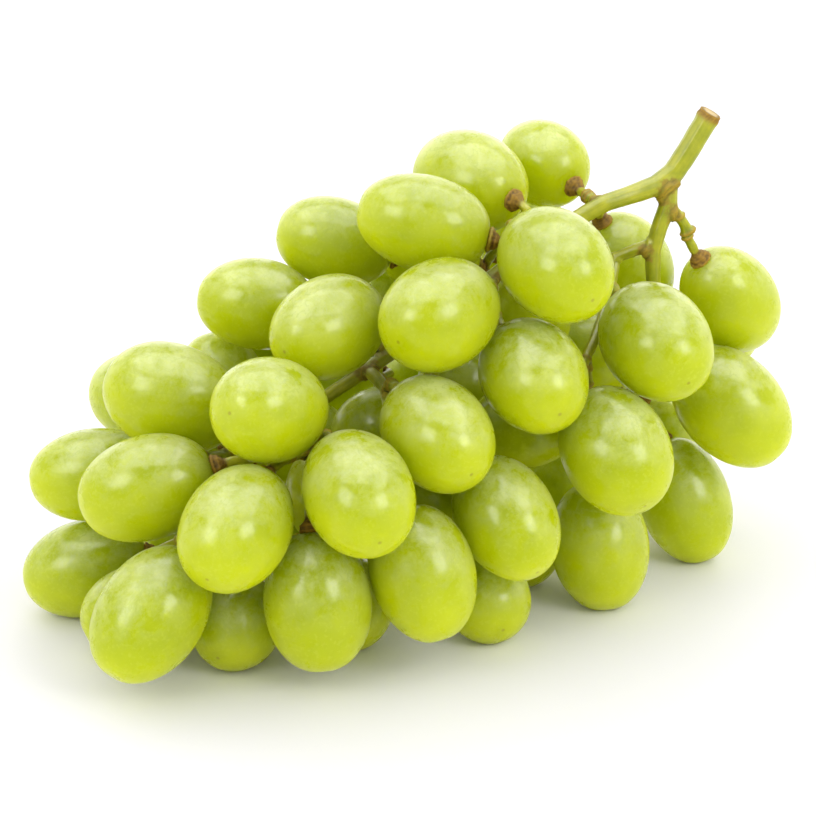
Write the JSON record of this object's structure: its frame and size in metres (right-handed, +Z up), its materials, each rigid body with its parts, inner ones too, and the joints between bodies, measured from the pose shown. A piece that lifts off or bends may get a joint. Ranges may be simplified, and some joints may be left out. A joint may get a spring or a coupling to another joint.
{
  "type": "bunch of grapes",
  "caption": "Bunch of oval green table grapes lying on its side, with its branched stem and cut stalk.",
  "frame": {"origin": "middle of the bounding box's footprint, at table level", "axes": "+X along the bunch from its tip to the cut stalk, +Y to the back, +Z up"},
  "size_m": [0.1528, 0.1152, 0.0943],
  "materials": {
    "grape_skin": "taut waxy skin, soft gloss under a faint bloom",
    "stem_bark": "matte green stem, brown and corky at the joints"
  },
  "bodies": {
    "root": {"grape_01": "grape_skin", "grape_02": "grape_skin", "grape_03": "grape_skin", "grape_04": "grape_skin", "grape_05": "grape_skin", "grape_06": "grape_skin", "grape_07": "grape_skin", "grape_08": "grape_skin", "grape_09": "grape_skin", "grape_10": "grape_skin", "grape_11": "grape_skin", "grape_12": "grape_skin", "grape_13": "grape_skin", "grape_14": "grape_skin", "grape_15": "grape_skin", "grape_16": "grape_skin", "grape_17": "grape_skin", "grape_18": "grape_skin", "grape_19": "grape_skin", "grape_20": "grape_skin", "grape_21": "grape_skin", "grape_22": "grape_skin", "grape_23": "grape_skin", "grape_24": "grape_skin", "grape_25": "grape_skin", "grape_26": "grape_skin", "grape_27": "grape_skin", "grape_28": "grape_skin", "grape_29": "grape_skin", "grape_30": "grape_skin", "grape_31": "grape_skin", "grape_32": "grape_skin", "grape_33": "grape_skin", "grape_34": "grape_skin", "grape_35": "grape_skin", "grape_36": "grape_skin", "grape_37": "grape_skin", "grape_38": "grape_skin", "grape_39": "grape_skin", "grape_40": "grape_skin", "grape_41": "grape_skin", "grape_42": "grape_skin", "grape_43": "grape_skin", "grape_44": "grape_skin", "grape_45": "grape_skin", "grape_46": "grape_skin", "grape_47": "grape_skin", "grape_48": "grape_skin", "grape_49": "grape_skin", "grape_50": "grape_skin", "grape_51": "grape_skin", "grape_52": "grape_skin", "grape_53": "grape_skin", "grape_54": "grape_skin", "grape_55": "grape_skin", "grape_56": "grape_skin", "grape_57": "grape_skin", "grape_58": "grape_skin", "grape_59": "grape_skin", "stem": "stem_bark"}
  },
  "joints": []
}
